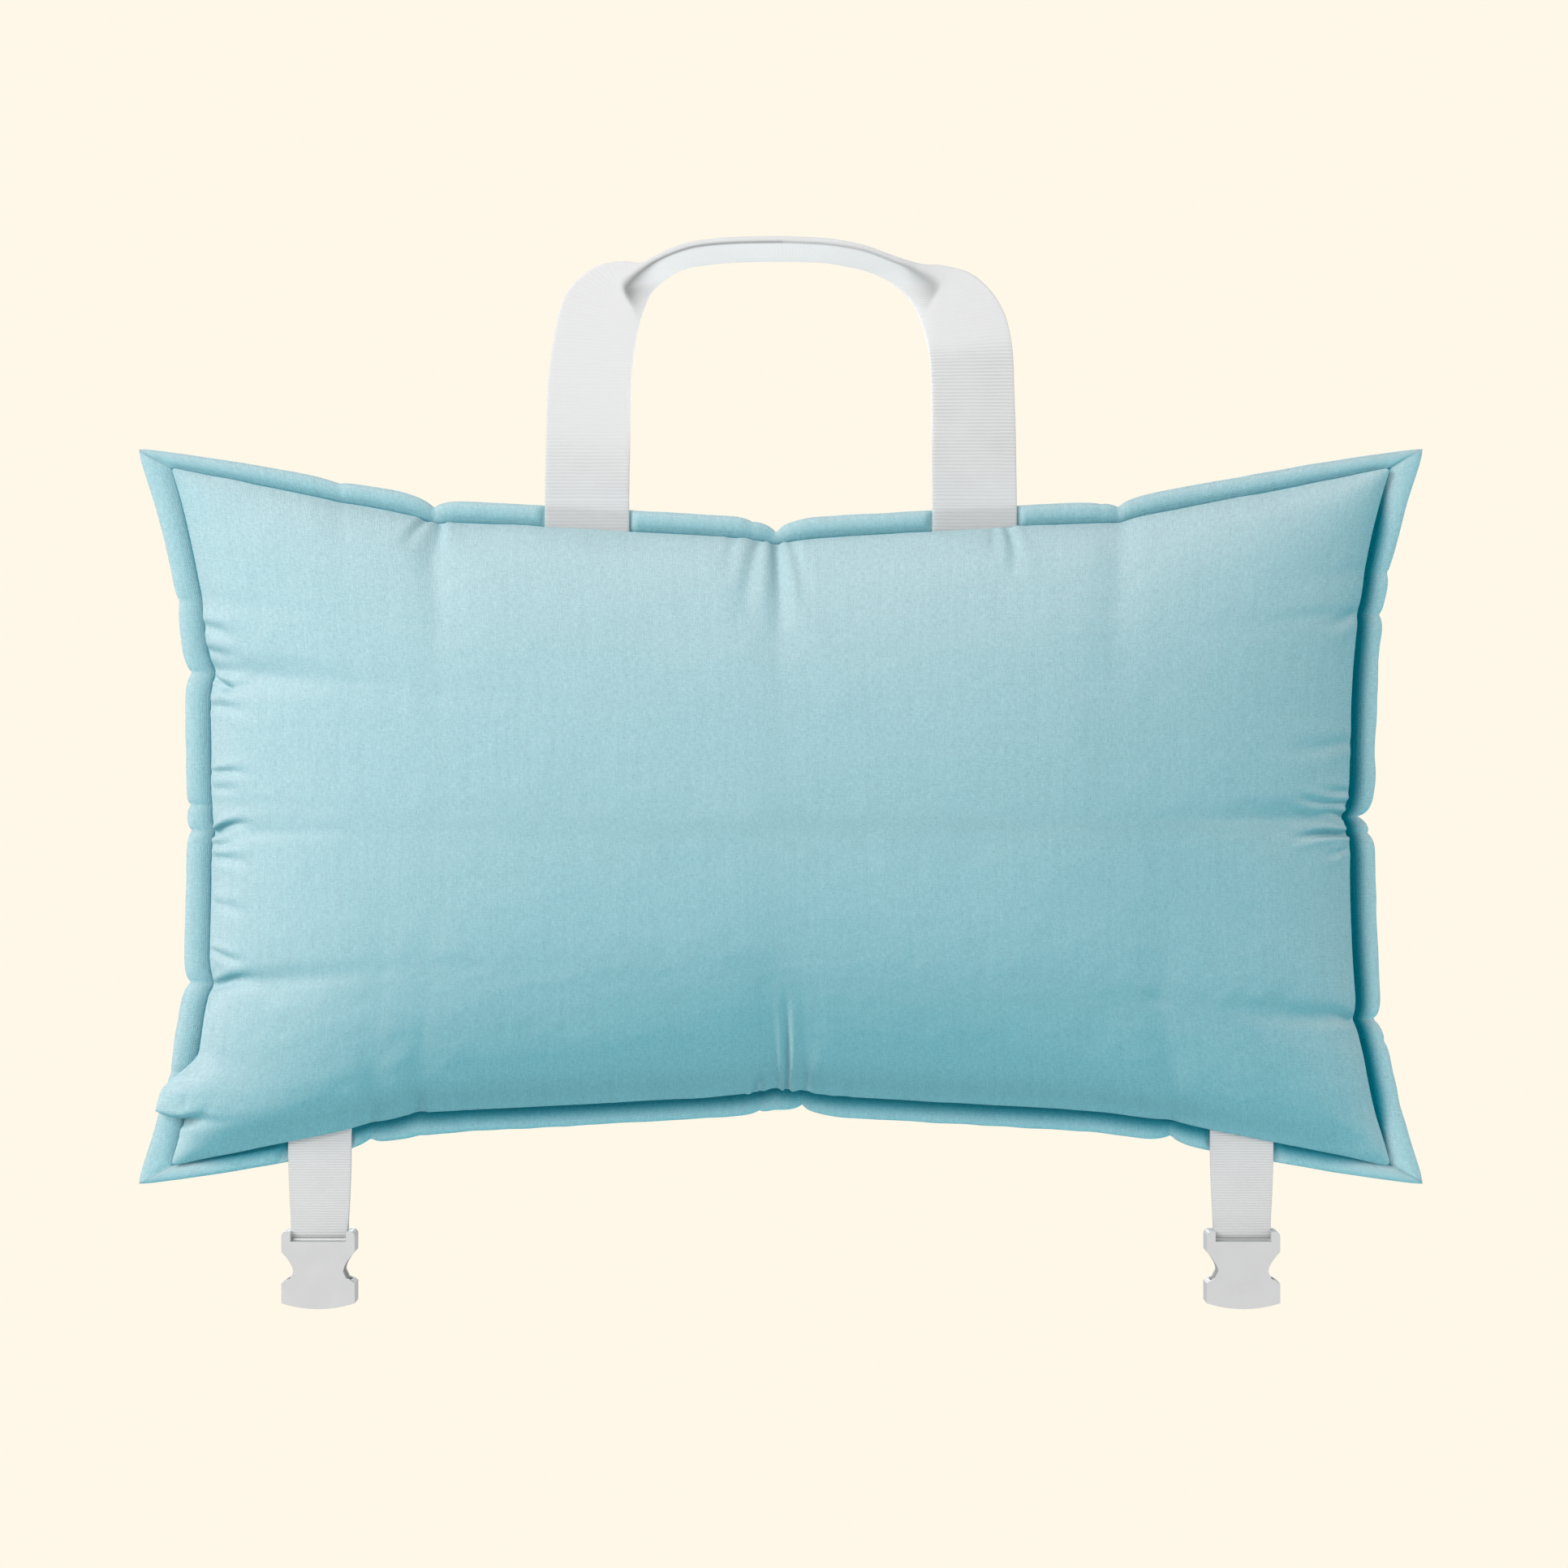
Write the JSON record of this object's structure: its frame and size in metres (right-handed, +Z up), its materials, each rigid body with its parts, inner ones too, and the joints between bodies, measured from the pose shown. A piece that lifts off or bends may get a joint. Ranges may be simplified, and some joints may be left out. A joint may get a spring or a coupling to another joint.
{
  "type": "nursing pillow",
  "caption": "Plump rectangular nursing pillow with a puffed border, a webbing carrying handle, lower straps ending in side-release buckle sockets, and a zipped back.",
  "frame": {"origin": "where a hand holds the handle: the underside of the middle of the handle", "axes": "+X along the pillow's length, to the right as seen from the front, +Y out of its back, +Z up"},
  "size_m": [0.6, 0.16, 0.4941],
  "materials": {
    "cover_cloth": "matte",
    "border_cloth": "matte",
    "case_cloth": "matte",
    "fibre": "matte",
    "webbing": "matte",
    "socket_plastic": "satin",
    "zip_cloth": "matte",
    "zip_plastic": "satin"
  },
  "bodies": {
    "pillow": {"front_cover": "cover_cloth", "back_cover_upper": "cover_cloth", "back_cover_lower": "cover_cloth", "flange_top": "border_cloth", "flange_bottom": "border_cloth", "flange_left": "border_cloth", "flange_right": "border_cloth", "inner_case_front": "case_cloth", "inner_case_back": "case_cloth", "fibre_filling": "fibre", "zip_tape_upper": "zip_cloth", "zip_tape_lower": "zip_cloth", "zip_coil_upper": "zip_plastic", "zip_coil_lower": "zip_plastic", "zip_stop_left": "zip_plastic", "zip_stop_right": "zip_plastic", "handle_end_left": "webbing", "handle_end_right": "webbing", "strap_end_left": "webbing", "strap_end_right": "webbing"},
    "handle": {"handle_webbing": "webbing"},
    "left_strap": {"strap_left": "webbing"},
    "right_strap": {"strap_right": "webbing"},
    "left_socket": {"buckle_socket_left": "socket_plastic"},
    "right_socket": {"buckle_socket_right": "socket_plastic"},
    "slider": {"zip_slider": "zip_plastic"},
    "pull": {"zip_pull": "zip_plastic"}
  },
  "joints": [
    {"name": "handle_swing", "type": "hinge", "parent": "pillow", "child": "handle", "pos_m": [0, -0.0031, -0.1184], "axis": [1, 0, 0], "range_deg": [-95, 95]},
    {"name": "left_strap_swing", "type": "hinge", "parent": "pillow", "child": "left_strap", "pos_m": [-0.214, -0.00325, -0.4274], "axis": [1, 0, 0], "range_deg": [-80, 80]},
    {"name": "right_strap_swing", "type": "hinge", "parent": "pillow", "child": "right_strap", "pos_m": [0.214, -0.00325, -0.4274], "axis": [1, 0, 0], "range_deg": [-80, 80]},
    {"name": "left_socket_tilt", "type": "hinge", "parent": "left_strap", "child": "left_socket", "pos_m": [-0.214, -0.00325, -0.4579], "axis": [1, 0, 0], "range_deg": [-70, 70]},
    {"name": "right_socket_tilt", "type": "hinge", "parent": "right_strap", "child": "right_socket", "pos_m": [0.214, -0.00325, -0.4579], "axis": [1, 0, 0], "range_deg": [-70, 70]},
    {"name": "zip_run", "type": "hinge", "parent": "pillow", "child": "slider", "pos_m": [0, -0.904, -0.2644], "axis": [0, 0, 1], "range_deg": [0, 16.3]},
    {"name": "zip_pull_flip", "type": "hinge", "parent": "slider", "child": "pull", "pos_m": [0.1399, 0.07268, -0.2644], "axis": [0, 0, -1], "range_deg": [0, 170]}
  ]
}
